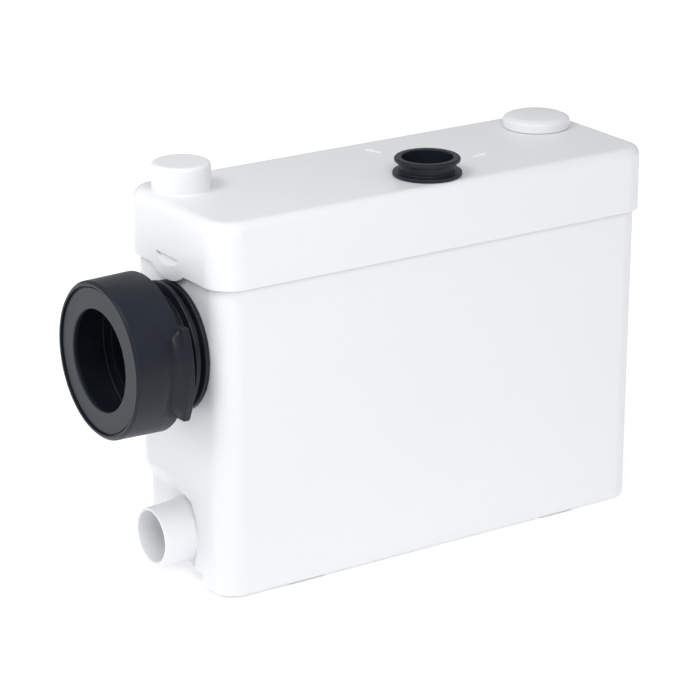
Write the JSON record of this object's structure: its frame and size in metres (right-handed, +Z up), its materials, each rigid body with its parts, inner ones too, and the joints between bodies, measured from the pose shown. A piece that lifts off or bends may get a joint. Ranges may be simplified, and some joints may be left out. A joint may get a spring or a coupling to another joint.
{
  "type": "macerator toilet pump",
  "caption": "Slim white box-shaped macerator pump for a toilet, with a black rubber pan collar and low spigot at one end, and a clip-on lid with a discharge sleeve and a vent cap.",
  "frame": {"origin": "middle of the box around the whole part, on the floor under the rubber feet", "axes": "+Z up, +X along the tank away from the pan collar, so the collar is at the -X end; -Y is the front that the picture shows"},
  "size_m": [0.4716, 0.1376, 0.3135],
  "materials": {
    "white_shell": "smooth white moulding, soft sheen",
    "black_rubber": "matte black rubber",
    "pale_rubber": "pale grey rubber",
    "carbon_felt": "carbon felt disc",
    "stainless": "stainless steel",
    "grey_plastic": "grey moulding",
    "pale_plastic": "natural pale moulding",
    "black_plastic": "black moulding",
    "seal_ceramic": "lapped seal faces",
    "cast_alloy": "die-cast alloy",
    "iron_laminations": "stacked laminations",
    "copper_wire": "varnished copper wire"
  },
  "bodies": {
    "housing": {"tank": "white_shell", "lid": "white_shell", "lid_seal": "black_rubber", "wc_inlet_sleeve": "black_rubber", "outlet_sleeve": "black_rubber", "motor_saddles": "black_rubber", "switch_diaphragm": "black_rubber", "gland_washer": "black_rubber", "foot_pads": "pale_rubber", "vent_filter": "carbon_felt", "inlet_flap_pin": "stainless", "casing_screws": "stainless", "motor_can": "stainless", "front_bearing": "stainless", "rear_bearing": "stainless", "valve_pin": "stainless", "lever_pin": "stainless", "box_screws": "stainless", "grinder_basket": "grey_plastic", "pump_cover": "grey_plastic", "pump_casing": "grey_plastic", "valve_body": "grey_plastic", "riser_pipe": "grey_plastic", "pressure_tube": "grey_plastic", "electrics_box": "grey_plastic", "electrics_box_cover": "grey_plastic", "diaphragm_cover": "pale_plastic", "terminal_block": "pale_plastic", "microswitch": "black_plastic", "cable_gland": "black_plastic", "gland_nut": "black_plastic", "gland_locknut": "black_plastic", "seal_seat": "seal_ceramic", "motor_plate": "cast_alloy", "motor_end_cap": "cast_alloy", "run_capacitor": "cast_alloy", "stator_core": "iron_laminations", "stator_windings": "copper_wire"},
    "rotor": {"motor_shaft": "stainless", "rotor_core": "iron_laminations", "impeller": "black_plastic", "grinder_blade": "stainless", "blade_nut": "stainless", "seal_rotor": "seal_ceramic"},
    "discharge_flap": {"valve_flap": "black_rubber"},
    "low_flap": {"inlet_flap": "pale_rubber"},
    "plunger": {"switch_plunger": "pale_plastic"},
    "lever": {"switch_lever": "stainless"},
    "cap": {"vent_cap": "white_shell"}
  },
  "joints": [
    {"name": "rotor_spin", "type": "hinge", "parent": "housing", "child": "rotor", "pos_m": [0.11325, 0, 0.0675], "axis": [1, 0, 0], "continuous": true},
    {"name": "discharge_flap_swing", "type": "hinge", "parent": "housing", "child": "discharge_flap", "pos_m": [0.02925, -0.027, 0.1286], "axis": [-1, 0, 0], "range_deg": [0, 60]},
    {"name": "low_flap_swing", "type": "hinge", "parent": "housing", "child": "low_flap", "pos_m": [-0.15605, 0, 0.065], "axis": [0, -1, 0], "range_deg": [0, 35]},
    {"name": "plunger_slide", "type": "slide", "parent": "housing", "child": "plunger", "axis": [0, 0, 1], "range_m": [0, 0.003], "stiffness_N_per_m": 150, "springref_m": -0.002},
    {"name": "lever_swing", "type": "hinge", "parent": "housing", "child": "lever", "pos_m": [-0.15525, 0.0325, 0.2785], "axis": [0, -1, 0], "range_deg": [0, 17.5]},
    {"name": "vent_cap_lift", "type": "slide", "parent": "housing", "child": "cap", "axis": [0, 0, 1], "range_m": [0, 0.014]}
  ],
  "couplings": [
    {"joint": "lever_swing", "follows": "plunger_slide", "rad_per_m": 100}
  ]
}
